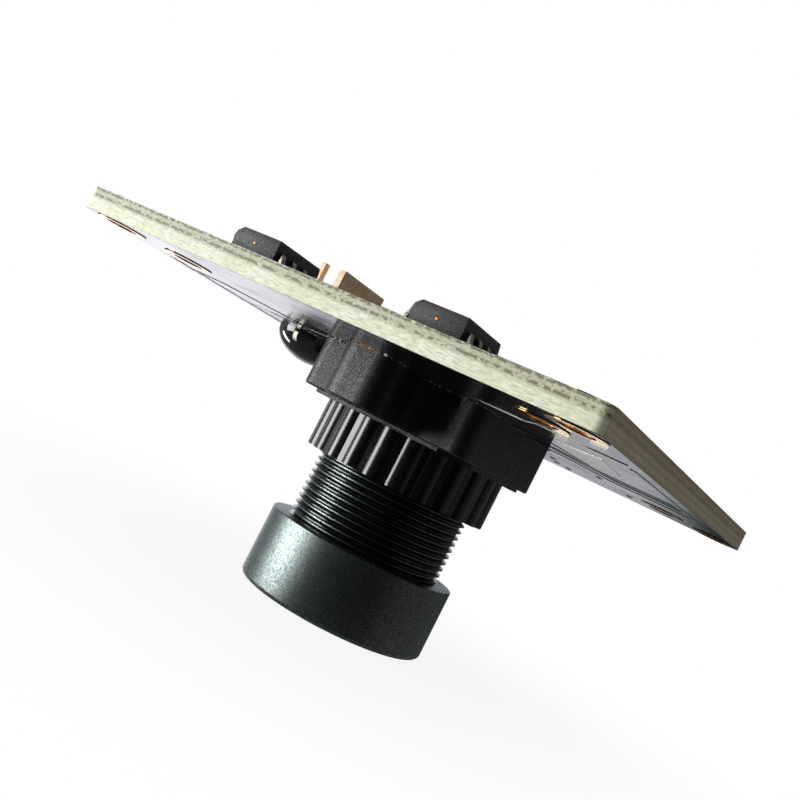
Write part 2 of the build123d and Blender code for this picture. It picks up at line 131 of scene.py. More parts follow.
class Finish:
    """One finish of the object, built from nodes on its own coordinates."""

    def __init__(self, holder):
        self.holder = holder
        holder.use_nodes = True
        self.tree = holder.node_tree
        self.tree.nodes.clear()
        self.spot = self.node("ShaderNodeTexCoord", output="Object")

    def node(self, kind, settings=None, inputs=None, output=0):
        made = self.tree.nodes.new(kind)
        for key, value in (settings or {}).items():
            setattr(made, key, value)
        for key, value in (inputs or {}).items():
            if isinstance(value, Value):
                self.tree.links.new(value.socket, made.inputs[key])
            else:
                made.inputs[key].default_value = value
        return Value(self, made.outputs[output])

    def axes(self, spot=None):
        whole = self.node("ShaderNodeSeparateXYZ", None, {0: spot or self.spot})
        return [Value(self, out) for out in whole.socket.node.outputs]

    def joined(self, x, y, z):
        return self.node("ShaderNodeCombineXYZ", None, {0: x, 1: y, 2: z})

    def stretched(self, x, y, z):
        return self.node(
            "ShaderNodeVectorMath", {"operation": "MULTIPLY"}, {0: self.spot, 1: (x, y, z)}
        )

    def noise(self, grain, detail=2.0, rough=0.5, spot=None):
        """Cloudy noise, mostly between 0.3 and 0.7, whose clouds are about one grain across."""
        return self.node(
            "ShaderNodeTexNoise", None,
            {"Vector": spot or self.spot, "Scale": 1 / grain, "Detail": detail, "Roughness": rough},
            "Fac",
        )

    def mixed(self, share, first, second):
        return self.node(
            "ShaderNodeMix", {"data_type": "RGBA"}, {0: share, 6: first, 7: second}, 2
        )

    def bumped(self, height, depth, strength=1.0, normal=None):
        inputs = {"Height": height, "Distance": depth, "Strength": strength}
        if normal:
            inputs["Normal"] = normal
        return self.node("ShaderNodeBump", None, inputs)

    def seen_straight(self):
        """1 for a ray from the camera or through glass, and 0 for one that a surface threw back."""
        path = self.node("ShaderNodeLightPath").socket.node
        rays = {out.name: Value(self, out) for out in path.outputs}
        return rays["Is Camera Ray"].most(rays["Is Transmission Ray"])

    def ended(self, shader, kind="ShaderNodeOutputMaterial"):
        out = self.tree.nodes.new(kind)
        self.tree.links.new(shader.socket, out.inputs[0])
        return self.holder

    def surface(self, **sockets):
        """The shader and its output. Socket names are written small, with _ for a space."""
        named = {
            key.replace("_", " ").title().replace("Ior", "IOR"): part
            for key, part in sockets.items()
        }
        return self.ended(self.node("ShaderNodeBsdfPrincipled", None, named))


def new_finish(name):
    return Finish(bpy.data.materials.new(name))


def cover(name, material):
    """Gives a CAD node its finish."""
    node[name].data.materials.clear()
    node[name].data.materials.append(material)


laminate = new_finish("solder mask and laminate")
across, along, height = laminate.axes()
level = (height - board_middle) / board_half
masked = level.size().ramp(1 - 2 * mask_depth / board_half, 1 - mask_depth / board_half)


def cloth(length, thickness, shift, detail, rough):
    """Noise on the cut edges whose clouds lie along the board, of a length and a thickness."""
    spot = laminate.joined((across + along) * (1 / length), shift, height * (1 / thickness))
    return laminate.noise(1.0, detail, rough, spot)


weave = cloth(0.6 * mm, 0.1 * mm, 0.0, 3.0, 0.6)
speckle = cloth(0.22 * mm, 0.12 * mm, 3.0, 2.0, 0.6)
bundles = cloth(0.4 * mm, 0.3 * mm, 7.0, 1.0, 0.5)
cloudy = laminate.noise(2.2 * mm, 2.0, 0.5)
row_upper = 1 - (level - 0.34).size().ramp(0.02, 0.2)
row_top = 1 - (level - 0.84).size().ramp(0.02, 0.16)
row_lower = 1 - (level + 0.35).size().ramp(0.0, 0.1)
chipped = level.ramp(0.7, 0.97) * laminate.noise(0.35 * mm, 3.0, 0.7).ramp(0.42, 0.56)
lower_line = (0 - level).ramp(0.9, 0.98)
resin = laminate.mixed(weave.ramp(0.36, 0.6), tint(208, 210, 180), tint(242, 244, 222))
resin = laminate.mixed(cloudy.ramp(0.4, 0.65, 0.0, 0.35), resin, tint(205, 205, 166))
upper_half = level.ramp(-0.1, 0.25) * (1 - level.ramp(0.86, 0.96))
resin = laminate.mixed(upper_half * 0.5, resin, tint(156, 156, 124))
dark_rows = row_upper.most(row_top) * bundles.ramp(0.42, 0.52, 0.0, 0.9)
resin = laminate.mixed(dark_rows, resin, tint(104, 102, 76))
resin = laminate.mixed(upper_half * speckle.ramp(0.5, 0.62, 0.0, 0.55), resin, tint(118, 116, 88))
resin = laminate.mixed(row_lower * bundles.ramp(0.5, 0.6, 0.0, 0.3), resin, tint(160, 158, 128))
resin = laminate.mixed(chipped * 0.8, resin, tint(92, 90, 66))
resin = laminate.mixed(lower_line * 0.6, resin, tint(70, 70, 60))
# Painted shade: both cut edges across X are tinted a darker, browner taupe, in rows, for the shade
# that falls on the right edge.
shaded_side_edges = across.size().ramp(board_high.x - 0.1 * mm, board_high.x - 0.01 * mm)
side_rows_and_shade = (height * (math.pi * 2 / (0.42 * mm))).wave().ramp(-0.2, 0.9, 0.6, 0.8)
resin = laminate.mixed(shaded_side_edges * side_rows_and_shade, resin, tint(166, 148, 124))
pour = laminate.noise(6 * mm, 2.0, 0.5)
mask_black = laminate.mixed(pour.ramp(0.45, 0.55), tint(22, 23, 26), tint(31, 33, 36))
ripple = laminate.noise(
    1.0, 2.0, 0.5, laminate.stretched(1 / (3 * mm), 1 / (0.9 * mm), 1 / (3 * mm))
)
smudge = laminate.noise(4 * mm, 3.0, 0.6)
wavy = laminate.bumped(ripple, 0.003 * mm)
fibrous = laminate.bumped(weave, 0.02 * mm)
cut_roughness = 0.62
cover("circuit_board", laminate.surface(
    base_color=laminate.mixed(masked, resin, mask_black),
    roughness=masked * (smudge.ramp(0.4, 0.7, 0.1, 0.2) - cut_roughness) + cut_roughness,
    normal=laminate.node(
        "ShaderNodeMix", {"data_type": "VECTOR"}, {0: masked, 4: fibrous, 5: wavy}, 1
    ),
))


# Tracks: copper lines under the mask, etched on both faces. The mask follows them, so they
# stand a few hundredths of a millimetre proud and read as slightly paler glossy ridges.
track_rise = 0.035 * mm
track_sunk = 0.004 * mm


def lay_track(work, points, width, face, out):
    """One track along a route of points in millimetres, mitred at its corners, as a flat strip."""
    places = [Vector((x * mm, y * mm, face - out * track_sunk)) for x, y in points]
    edge = None
    for i, place in enumerate(places):
        before = (place - places[i - 1]).normalized() if i else (places[1] - place).normalized()
        after = (places[i + 1] - place).normalized() if i + 1 < len(places) else before
        mitre = (before + after).normalized()
        side = Vector((-mitre.y, mitre.x, 0)) * (width * mm / 2 / max(mitre.dot(before), 0.3))
        if edge is None:
            pair = [work.verts.new(place + side), work.verts.new(place - side)]
            edge = work.edges.new(pair)
        else:
            grown = bmesh.ops.extrude_edge_only(work, edges=[edge])["geom"]
            edge = next(part for part in grown if isinstance(part, bmesh.types.BMEdge))
            fresh = [part for part in grown if isinstance(part, bmesh.types.BMVert)]
            fresh.sort(key=lambda v: (v.co - pair[0].co).length)
            fresh[0].co = place + side
            fresh[1].co = place - side
            pair = fresh


def made_of(work, name, material, sharp=30.0, stands_for=()):
    """Turns a finished mesh into a piece of the object, shaded smooth except at its sharp edges."""
    bmesh.ops.recalc_face_normals(work, faces=work.faces)
    for face in work.faces:
        face.smooth = True
    for edge in work.edges:
        if len(edge.link_faces) == 2:
            edge.smooth = edge.calc_face_angle(0) < math.radians(sharp)
    mesh = bpy.data.meshes.new(name)
    work.to_mesh(mesh)
    work.free()
    mesh.materials.append(material)
    piece = bpy.data.objects.new(name, mesh)
    bpy.context.scene.collection.objects.link(piece)
    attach(piece, "root")
    if stands_for:
        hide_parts(*stands_for)


def tracks(name, routes, face, out):
    """All the tracks of one face as one piece, raised towards +Z or -Z as out is 1 or -1."""
    work = bmesh.new()
    for width, points in routes:
        lay_track(work, points, width, face, out)
    bmesh.ops.recalc_face_normals(work, faces=work.faces)
    for part in work.faces:
        if part.normal.z * out < 0:
            part.normal_flip()
    bmesh.ops.solidify(work, geom=list(work.faces), thickness=-(track_rise + track_sunk))
    made_of(work, name, track_mask, 50)


masked_copper = new_finish("mask over copper")
track_mask = masked_copper.surface(
    base_color=masked_copper.mixed(
        masked_copper.noise(2 * mm).ramp(0.4, 0.6), tint(36, 39, 42), tint(46, 49, 50)
    ),
    roughness=masked_copper.noise(1.5 * mm).ramp(0.3, 0.7, 0.1, 0.2),
)

back_routes = [
    (0.25, [(-9.6, -17.9), (-9.6, -18.6), (-13.4, -18.6)]),
    (0.2, [(-4.4, -16.4), (-3.2, -16.4), (-1.4, -14.6), (-1.4, -11.8)]),
    (0.2, [(-4.4, -15.2), (-3.6, -15.2), (-2.4, -14.0), (-2.4, -9.6), (-3.2, -8.8), (-3.2, -4.6)]),
    (0.2, [(-4.4, -13.9), (-3.4, -12.9), (-3.4, -10.2), (-4.2, -9.4), (-4.2, -5.6), (-4.6, -5.2)]),
    (0.2, [
        (-10.6, -13.9), (-12.0, -12.5), (-12.0, -8.0), (-9.4, -5.4), (-9.4, -4.2), (-7.8, -2.6),
    ]),
    (0.2, [(-10.6, -15.2), (-12.8, -13.0), (-12.8, -7.4), (-11.6, -6.2)]),
    (0.2, [(4.1, -15.2), (2.8, -13.9), (2.8, -9.4), (2.2, -8.8), (2.2, -4.6)]),
    (0.2, [
        (4.1, -13.9), (3.6, -13.4), (3.6, -9.0), (3.0, -8.4), (3.0, -6.2), (2.7, -5.9), (2.7, -4.6),
    ]),
    (0.2, [(10.3, -15.2), (11.6, -13.9), (11.6, -8.2), (12.6, -7.2)]),
    (0.3, [(10.3, -13.9), (10.9, -13.3), (10.9, -6.2), (11.2, -5.9)]),
    (0.4, [(8.0, -4.4), (7.2, -4.4), (6.4, -3.6), (6.4, -2.8)]),
    (0.2, [(-11.9, 0.8), (-9.4, 0.8), (-8.6, 1.6), (-7.0, 1.6)]),
    (0.2, [(-11.9, 2.1), (-9.0, 2.1), (-8.2, 2.9), (-5.2, 2.9), (-4.7, 2.4)]),
    (0.2, [(-11.9, 3.4), (-9.6, 3.4), (-8.7, 4.3), (-5.6, 4.3), (-4.7, 3.4)]),
    (0.35, [(-11.9, 5.6), (-10.4, 7.1), (-10.4, 11.4), (-8.0, 13.8)]),
    (0.2, [(4.6, 1.2), (5.6, 1.2), (7.0, 2.6), (7.0, 6.6), (7.6, 7.2)]),
    (0.2, [(4.6, 1.8), (5.2, 1.8), (6.2, 2.8), (6.2, 7.0), (5.8, 8.2)]),
    (0.2, [(1.2, 4.6), (1.2, 6.4), (0.2, 7.4), (-2.6, 7.4), (-5.0, 9.8), (-5.0, 10.7)]),
    (0.2, [(0.8, 4.6), (0.8, 6.0), (-0.2, 7.0), (-2.8, 7.0)]),
    (0.35, [(10.2, 10.2), (12.0, 8.4), (15.0, 8.4), (15.9, 7.5)]),
    (0.3, [(15.9, 1.6), (15.9, -2.0), (13.4, -4.5), (13.4, -8.0)]),
    (0.2, [(5.0, 12.8), (3.2, 12.8), (1.6, 14.4), (1.6, 17.4), (-6.6, 17.4)]),
    (0.2, [(-4.2, 11.0), (-2.6, 12.6), (-2.6, 16.8), (-6.0, 16.8)]),
]
tracks("back_tracks", back_routes, board_high.z, 1)

front_routes = [
    (0.3, [(-19.2, -9.6), (-15.2, -9.6), (-10.8, -5.2), (-7.2, -5.2)]),
    (0.3, [(-19.0, -3.2), (-12.6, -3.2), (-11.4, -4.4), (-7.2, -4.4)]),
    (0.2, [(-12.4, -2.2), (-8.8, -2.2), (-7.4, -0.8)]),
    (0.2, [(-12.4, -1.4), (-9.2, -1.4), (-7.8, 0.0)]),
    (0.2, [(-12.4, -0.6), (-9.6, -0.6), (-8.2, 0.8)]),
    (0.3, [(7.2, -9.4), (11.4, -9.4), (13.0, -11.0), (18.8, -11.0)]),
    (0.3, [(7.2, -2.2), (10.4, -2.2), (12.0, 3.6), (18.8, 3.6)]),
    (0.2, [(7.2, 1.0), (9.8, 1.0), (12.8, 5.0), (18.6, 5.0)]),
    (0.2, [(7.2, 2.2), (9.2, 2.2), (12.8, 5.8), (18.6, 5.8)]),
    (0.2, [(7.2, 4.6), (8.6, 4.6), (12.0, 8.0), (18.4, 8.0)]),
    (0.4, [(-18.6, -12.0), (-18.6, 11.0)]),
    (0.4, [(18.7, -9.5), (18.7, 10.6)]),
]
tracks("front_tracks", front_routes, board_low.z, -1)


# Printed outlines: thin lines of white ink on the back round the chips, the connector and the
# small pieces, with a dot at each first lead, and one bare pale patch on the lens side.
ink_rise = 0.012 * mm
ink = new_finish("white ink")
white_ink = ink.surface(
    base_color=ink.mixed(
        ink.noise(0.15 * mm, 3.0).ramp(0.3, 0.55), tint(176, 178, 174), tint(222, 223, 217)
    ),
    roughness=0.6,
)


def ink_frame(work, x, y, width, depth, line=0.16):
    """A rectangle of four printed lines with small gaps at two of its corners."""
    for dx, dy, w, d in (
        (0, -depth / 2, width, line), (0, depth / 2, width * 0.84, line),
        (-width / 2, 0, line, depth - 2 * line), (width / 2, 0, line, (depth - 2 * line) * 0.9),
    ):
        bar = bmesh.ops.create_grid(work, x_segments=1, y_segments=1, size=0.5 * mm)["verts"]
        bmesh.ops.scale(work, vec=(w, d, 1), verts=bar)
        bmesh.ops.translate(work, vec=((x + dx) * mm, (y + dy) * mm, board_high.z), verts=bar)


printed = bmesh.new()
left_low, left_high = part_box("left_chip")
right_low, right_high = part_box("right_chip")
for low, high in ((left_low, left_high), (right_low, right_high)):
    middle = (low + high) / 2 / mm
    ink_frame(printed, middle.x, middle.y, 2.6, 5.9)
ink_frame(printed, 0, 0, 10.2, 10.2)
housing_low, housing_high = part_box("connector_housing")
socket = (housing_low + housing_high) / 2 / mm
ink_frame(printed, socket.x - 0.3, socket.y, 4.6, 9.0)
crystal_low, crystal_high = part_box("clock_crystal")
quartz = (crystal_low + crystal_high) / 2 / mm
ink_frame(printed, quartz.x, quartz.y, 5.8, 4.0)
for x, y in ((-10.9, -16.9), (3.8, -16.9), (-5.6, -5.6)):
    dot = bmesh.ops.create_circle(printed, cap_ends=True, segments=20, radius=0.3 * mm)["verts"]
    bmesh.ops.translate(printed, vec=(x * mm, y * mm, board_high.z), verts=dot)
bmesh.ops.recalc_face_normals(printed, faces=printed.faces)
for part in printed.faces:
    if part.normal.z < 0:
        part.normal_flip()
bmesh.ops.solidify(printed, geom=list(printed.faces), thickness=-ink_rise)
made_of(printed, "printed_outlines", white_ink, 50)

patch = bmesh.new()
bare = new_finish("bare laminate patch")
corners = [(12.3, -5.8), (16.0, -7.3), (15.4, -0.8), (13.8, 1.5), (11.3, -1.3)]
patch.faces.new([patch.verts.new((x * mm, y * mm, board_low.z)) for x, y in corners])
bmesh.ops.recalc_face_normals(patch, faces=patch.faces)
for part in patch.faces:
    if part.normal.z > 0:
        part.normal_flip()
bmesh.ops.solidify(patch, geom=list(patch.faces), thickness=-ink_rise)
made_of(patch, "bare_patch", bare.surface(
    base_color=bare.mixed(
        bare.noise(0.8 * mm, 3.0).ramp(0.35, 0.6), tint(238, 230, 204), tint(250, 246, 228)
    ),
    roughness=0.22,
    ior=1.9,
), 50)


# Vias: small plated holes that carry a track through the board, closed by the mask, so that
# each shows as a small ring with a dark middle at the end of a track.
via_radius = 0.32 * mm
via_rise = 0.045 * mm
vias = bmesh.new()
bmesh.ops.create_cone(
    vias, cap_ends=True, segments=12,
    radius1=via_radius, radius2=via_radius - via_rise, depth=2 * via_rise,
)
mouth = max(vias.faces, key=lambda face: face.calc_center_median().z)
bmesh.ops.inset_region(vias, faces=[mouth], thickness=0.1 * mm, depth=0)
bmesh.ops.inset_region(vias, faces=[mouth], thickness=0.03 * mm, depth=-via_rise * 0.9)
pattern = list(vias.verts) + list(vias.edges) + list(vias.faces)
via_places = [points[end] for width, points in back_routes for end in (0, -1)]
via_places = [(x, y) for x, y in via_places if max(abs(x), abs(y)) > 5.0]
scattered = random.Random(7)
via_count = 70
inner_hole = 14.5
while len(via_places) < via_count:
    x, y = scattered.uniform(-16.5, 16.5), scattered.uniform(-11.5, 17.5)
    clear_of_holes = math.hypot(abs(x) - inner_hole, abs(y) - inner_hole) > 2.6
    clear_of_processor = max(abs(x), abs(y)) > 5.4
    clear_of_screws = not (abs(x) < 2.6 and abs(y) < 11.6)
    if clear_of_processor and clear_of_screws and clear_of_holes:
        via_places.append((x, y))
dome_low, dome_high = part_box("epoxy_dome")
dome_middle = (dome_low + dome_high) / 2 / mm
for face, out in ((board_high.z, 1), (board_low.z, -1)):
    for x, y in via_places:
        near_dome = math.hypot(x - dome_middle.x, y - dome_middle.y) < 4
        under_holder = math.hypot(x, y) < 10.6
        if out < 0 and (near_dome or under_holder or y < 9):
            continue
        copied = bmesh.ops.duplicate(vias, geom=pattern)["geom"]
        points = [part for part in copied if isinstance(part, bmesh.types.BMVert)]
        if out < 0:
            upside_down = Matrix.Rotation(math.pi, 3, "X")
            bmesh.ops.rotate(vias, cent=(0, 0, 0), matrix=upside_down, verts=points)
        bmesh.ops.translate(vias, vec=(x * mm, y * mm, face), verts=points)
pattern_points = [part for part in pattern if isinstance(part, bmesh.types.BMVert)]
bmesh.ops.delete(vias, geom=pattern_points, context="VERTS")
via_finish = new_finish("masked via")
made_of(vias, "vias", via_finish.surface(
    base_color=via_finish.mixed(
        via_finish.noise(1.4 * mm).ramp(0.42, 0.5), tint(60, 58, 50), tint(112, 96, 62)
    ),
    roughness=0.25,
), 40)


# Plated holes: two at each corner, each with a flat ring on both faces and a thin plated wall.
# The plating is hard gold over nickel, fine grained and a little uneven, so it glints warmly.
gold = new_finish("gold plating")
gold_worn = gold.noise(0.5 * mm, 3.0, 0.6)
from_middle = (gold.axes()[2] - board_middle).size()
ring_face = from_middle.ramp(board_half - 0.05 * mm, board_half)
# Painted shade: the thin outer rim of each ring and a narrow band at each mouth of the bore are
# coloured dark brown, so that they do not glint.
shaded_ring_rim = ring_face * (1 - from_middle.ramp(board_half + 0.045 * mm, board_half + 0.055 * mm))
rubbed = gold.mixed(gold_worn.ramp(0.35, 0.65), tint(216, 172, 112), tint(246, 212, 156))
plating = gold.surface(
    base_color=gold.mixed(
        shaded_ring_rim, gold.mixed(ring_face, tint(250, 212, 154), rubbed), tint(64, 42, 26)
    ),
    metallic=1.0,
    roughness=0.32 - ring_face * gold_worn.ramp(0.3, 0.7, 0.08, 0.18),
)
cover("mounting_hole_plating", plating)


# Gold pads under the ears of the holder: bare plated copper that shows as a thin orange line
# past the end of each ear, duller than the rings round the holes.
dull_gold = new_finish("gold pad")
cover("holder_pads", dull_gold.surface(
    base_color=dull_gold.mixed(
        dull_gold.noise(0.3 * mm).ramp(0.4, 0.6), tint(40, 27, 17), tint(120, 82, 48)
    ),
    metallic=1.0,
    roughness=0.4,
))


# Lens holder: a black box moulded in glass-filled plastic, with an ear at the front and the back
# for its screws. Its skin is satin with a fine spark-eroded grain that sparkles in raking light.
grainy = new_finish("grained black moulding")
coarse = grainy.noise(0.12 * mm, 2.0, 0.6)
fine = grainy.noise(0.05 * mm, 2.0, 0.5)
grain = coarse * 0.6 + fine * 0.4
holder_black = grainy.surface(
    base_color=grainy.mixed(coarse.ramp(0.42, 0.6), tint(7, 8, 10), tint(22, 25, 25)),
    roughness=coarse.ramp(0.38, 0.62, 0.56, 0.34),
    normal=grainy.bumped(grain, 0.03 * mm),
)
cover("lens_holder", holder_black)


# Sealant: a thin uneven bead of clear adhesive that squeezed out where the holder meets the
# board. Pale specks all along the joint stand for a little pale dust and for painted glints.
body_x, body_y, ear_half, ear_y = 7.25, 6.6, 2.4, 11.2
corner_cut, root_cut = 0.7, 1.0
bead_width = 0.22
quarter = [
    (body_x, body_y - corner_cut), (body_x - corner_cut, body_y),
    (ear_half + root_cut, body_y), (ear_half, body_y + root_cut),
    (ear_half, ear_y - corner_cut), (ear_half - corner_cut, ear_y),
]
route = quarter + [(-x, y) for x, y in reversed(quarter)]
route += [(-x, -y) for x, y in route]
squeezed = random.Random(3)
bead_points = []
for (x0, y0), (x1, y1) in zip(route, route[1:] + route[:1]):
    count = max(1, round(math.hypot(x1 - x0, y1 - y0) / bead_width))
    bead_points += [(x0 + (x1 - x0) * i / count, y0 + (y1 - y0) * i / count) for i in range(count)]
sealant = bmesh.new()
lay_track(sealant, bead_points, bead_width, board_low.z, -1)
for v in sealant.verts:
    v.co.z -= squeezed.uniform(0.0, 0.11) * mm
    v.co.x += squeezed.uniform(-0.05, 0.05) * mm
    v.co.y += squeezed.uniform(-0.05, 0.05) * mm
bmesh.ops.solidify(sealant, geom=list(sealant.faces), thickness=0.05 * mm)
clear = new_finish("sealant, dust and painted glints")
# Pale specks on the dark bead: partly dust, partly painted glints along the joint.
dust_and_glints = clear.noise(0.09 * mm, 2.0, 0.6)
made_of(sealant, "sealant_bead", clear.surface(
    base_color=clear.mixed(dust_and_glints.ramp(0.5, 0.62), tint(16, 17, 18), tint(206, 206, 198)),
    roughness=0.12,
), 20)


# Holder screws: small steel pan heads with a cross recess, zinc plated and brushed by the driver.
plated = new_finish("plated screw steel")
scratched = plated.noise(
    1.0, 2.0, 0.6, plated.stretched(1 / (0.5 * mm), 1 / (0.06 * mm), 1 / (0.3 * mm))
)
cover("holder_screws", plated.surface(
    base_color=plated.mixed(scratched.ramp(0.35, 0.65), tint(160, 160, 158), tint(206, 206, 202)),
    metallic=1.0,
    roughness=scratched.ramp(0.3, 0.7, 0.22, 0.38),
    normal=plated.bumped(scratched, 0.003 * mm),
))


# Lock ring: a ring nut of glossy black plastic with rounded lobes for the fingers. It was
# polished by its mould, with faint upright draw marks.
glossy = new_finish("glossy black moulding")
drawn = glossy.noise(
    1.0, 3.0, 0.6, glossy.stretched(1 / (0.12 * mm), 1 / (0.12 * mm), 1 / (2.5 * mm))
)
cover("lock_ring", glossy.surface(
    base_color=glossy.mixed(drawn.ramp(0.4, 0.6), tint(11, 12, 12), tint(20, 21, 20)),
    roughness=drawn.ramp(0.35, 0.7, 0.2, 0.27),
    normal=glossy.bumped(drawn, 0.0004 * mm),
))


# Lens barrel: one piece of turned aluminium, anodised black. The wide hooded head is blasted to
# a fine satin, and the neck carries an M12 x 0.5 thread that runs up through the lock ring. The
# thread starts inside the head, so that no bare neck shows between them.
barrel_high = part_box("lens_barrel")[1]
front_lens_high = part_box("front_lens")[1]
rear_lens_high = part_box("rear_lens")[1]
filter_low, filter_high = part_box("ir_cut_filter")
retainer_low, retainer_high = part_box("front_retaining_ring")
head_radius = barrel_high.x
head_height = 5.35 * mm
crest_radius = 6.0 * mm
root_radius = 5.7 * mm
thread_pitch = 0.5 * mm
thread_steps = 72
thread_hidden = 0.35 * mm
lens_play = 0.05 * mm
lens_bore = front_lens_high.x + lens_play
rear_bore = 4.0 * mm
clear_bore = 3.25 * mm
hood_mouth = 6.2 * mm
rim = 0.35 * mm
back_break = 0.12 * mm
lens_stop = rear_lens_high.z - 0.7 * mm
filter_stop = rear_lens_high.z + 0.3 * mm


def turned(work, outline, steps=144):
    """A closed outline of (radius, height) points turned once about the lens axis."""
    points = [work.verts.new((radius, 0, height)) for radius, height in outline]
    edges = [work.edges.new((a, b)) for a, b in zip(points, points[1:] + points[:1])]
    bmesh.ops.spin(
        work, geom=edges, cent=(0, 0, 0), axis=(0, 0, 1), dvec=(0, 0, 0),
        angle=2 * math.pi, steps=steps, use_merge=True,
    )
    bmesh.ops.remove_doubles(work, verts=work.verts, dist=0.0005 * mm)


def rounded(x, z, radius, start, end, count=5):
    """Points of a quarter round about a centre, between two directions in degrees."""
    angles = [math.radians(start + (end - start) * i / count) for i in range(count + 1)]
    return [(x + radius * math.cos(a), z + radius * math.sin(a)) for a in angles]


body = bmesh.new()
turned(body, [
    *rounded(head_radius - rim, rim, rim, -90, 0),
    *rounded(head_radius - back_break, head_height - back_break, back_break, 0, 90, 3),
    (root_radius + 0.25 * mm, head_height),
    (root_radius, head_height + back_break),
    (root_radius, barrel_high.z - 0.1 * mm),
    (root_radius - 0.1 * mm, barrel_high.z),
    (filter_high.x + lens_play, barrel_high.z),
    (filter_high.x + lens_play, filter_low.z),
    (rear_bore, filter_low.z),
    (rear_bore, filter_stop),
    (clear_bore, filter_stop),
    (clear_bore, lens_stop),
    (lens_bore, lens_stop),
    (lens_bore, retainer_high.z),
    (retainer_high.x + lens_play, retainer_high.z),
    (retainer_high.x + lens_play, retainer_low.z),
    (hood_mouth, 0.0),
])
anodised = new_finish("satin black anodising")
blasted = anodised.noise(0.11 * mm, 3.0, 0.7)
speck = anodised.noise(0.04 * mm, 1.0, 0.5)
worn_rim = 1 - anodised.axes()[2].ramp(0.0, 0.5 * mm)
skin = anodised.mixed(blasted.ramp(0.38, 0.62), tint(66, 74, 74), tint(112, 122, 119))
skin = anodised.mixed(worn_rim * blasted.ramp(0.5, 0.7, 0.0, 0.35), skin, tint(132, 136, 134))
barrel_black = anodised.surface(
    base_color=skin,
    metallic=0.9,
    roughness=blasted.ramp(0.35, 0.65, 0.4, 0.28),
    normal=anodised.bumped(blasted * 0.6 + speck * 0.4, 0.015 * mm),
)
made_of(body, "barrel_body", barrel_black, 28, stands_for=["lens_barrel"])

thread = bmesh.new()
thread_low = head_height - thread_hidden
thread_turns = (barrel_high.z - thread_hidden - thread_low) / thread_pitch
ridge_foot = root_radius - 0.03 * mm
ridge_profile = (
    (ridge_foot, -0.46), (crest_radius, -0.08), (crest_radius, 0.08), (ridge_foot, 0.46),
)
ridge = [
    thread.verts.new((radius, 0, thread_low + offset * thread_pitch))
    for radius, offset in ridge_profile
]
ridge_edges = [thread.edges.new(pair) for pair in zip(ridge, ridge[1:])]
steps = round(thread_turns * thread_steps)
bmesh.ops.spin(
    thread, geom=ridge_edges, cent=(0, 0, 0), axis=(0, 0, 1),
    dvec=(0, 0, thread_pitch / thread_steps),
    angle=2 * math.pi * steps / thread_steps, steps=steps,
)
bmesh.ops.holes_fill(thread, edges=thread.edges, sides=5)
cut = new_finish("cut thread, black")
lathe = cut.noise(
    1.0, 2.0, 0.5, cut.stretched(1 / (0.7 * mm), 1 / (0.7 * mm), 1 / (0.03 * mm))
)
thread_black = cut.surface(
    base_color=cut.mixed(lathe.ramp(0.4, 0.6), tint(40, 44, 42), tint(72, 78, 74)),
    metallic=0.9,
    roughness=lathe.ramp(0.3, 0.7, 0.12, 0.2),
)
made_of(thread, "barrel_thread", thread_black, 25)


# Lenses: three pieces of ground optical glass with a magenta and green coating, a black ring
# that screws in front of them, black spacers between them and a pink-tinted filter behind.
coated = new_finish("coated lens glass")
coated_tint = coated.mixed(
    coated.noise(6 * mm).ramp(0.4, 0.6), tint(226, 230, 240), tint(238, 232, 240)
)
glass = coated.surface(
    base_color=coated_tint, roughness=0.02, transmission_weight=1.0, ior=1.6,
    thin_film_thickness=380.0, thin_film_ior=1.38,
)
for name in ("front_lens", "middle_lens", "rear_lens"):
    cover(name, glass)
blackened = new_finish("blackened rings")
matt = blackened.noise(0.2 * mm, 3.0)
ring_black = blackened.surface(
    base_color=blackened.mixed(matt.ramp(0.4, 0.6), tint(12, 12, 13), tint(24, 24, 26)),
    roughness=matt.ramp(0.3, 0.7, 0.45, 0.65), metallic=0.3,
)
for name in ("front_retaining_ring", "front_spacer", "stop_spacer"):
    cover(name, ring_black)
pink = new_finish("infrared filter glass")
cover("ir_cut_filter", pink.surface(
    base_color=pink.mixed(
        pink.noise(3 * mm).ramp(0.4, 0.6), tint(190, 225, 226), tint(200, 216, 232)
    ),
    roughness=0.03, transmission_weight=1.0, ior=1.52,
))


# Image sensor: a white ceramic tray on the board with the silicon at its bottom, under a flat
# cover glass. The silicon has a fine grid of picture points round which the wires are bonded.
ceramic = new_finish("sensor ceramic")
cover("sensor_package", ceramic.surface(
    base_color=ceramic.mixed(
        ceramic.noise(0.3 * mm, 3.0).ramp(0.35, 0.65), tint(196, 190, 178), tint(222, 218, 208)
    ),
    roughness=0.55,
))
silicon = new_finish("silicon")
across, along, height = silicon.axes()
grid_pitch = 0.03 * mm
grid = (across * (1 / grid_pitch)).wave() * (along * (1 / grid_pitch)).wave()
beyond_width = across.size().ramp(1.9 * mm, 2.0 * mm)
beyond_depth = along.size().ramp(1.35 * mm, 1.45 * mm)
picture = silicon.mixed(grid.ramp(-0.5, 0.5), tint(40, 60, 52), tint(66, 52, 84))
cover("sensor_die", silicon.surface(
    base_color=silicon.mixed((1 - beyond_width) * (1 - beyond_depth), tint(60, 66, 74), picture),
    metallic=0.7,
    roughness=0.2,
))
window = new_finish("cover glass")
cover("sensor_cover_glass", window.surface(
    base_color=window.mixed(window.noise(4 * mm), tint(236, 242, 240), tint(242, 244, 246)),
    roughness=0.02, transmission_weight=1.0, ior=1.5,
))
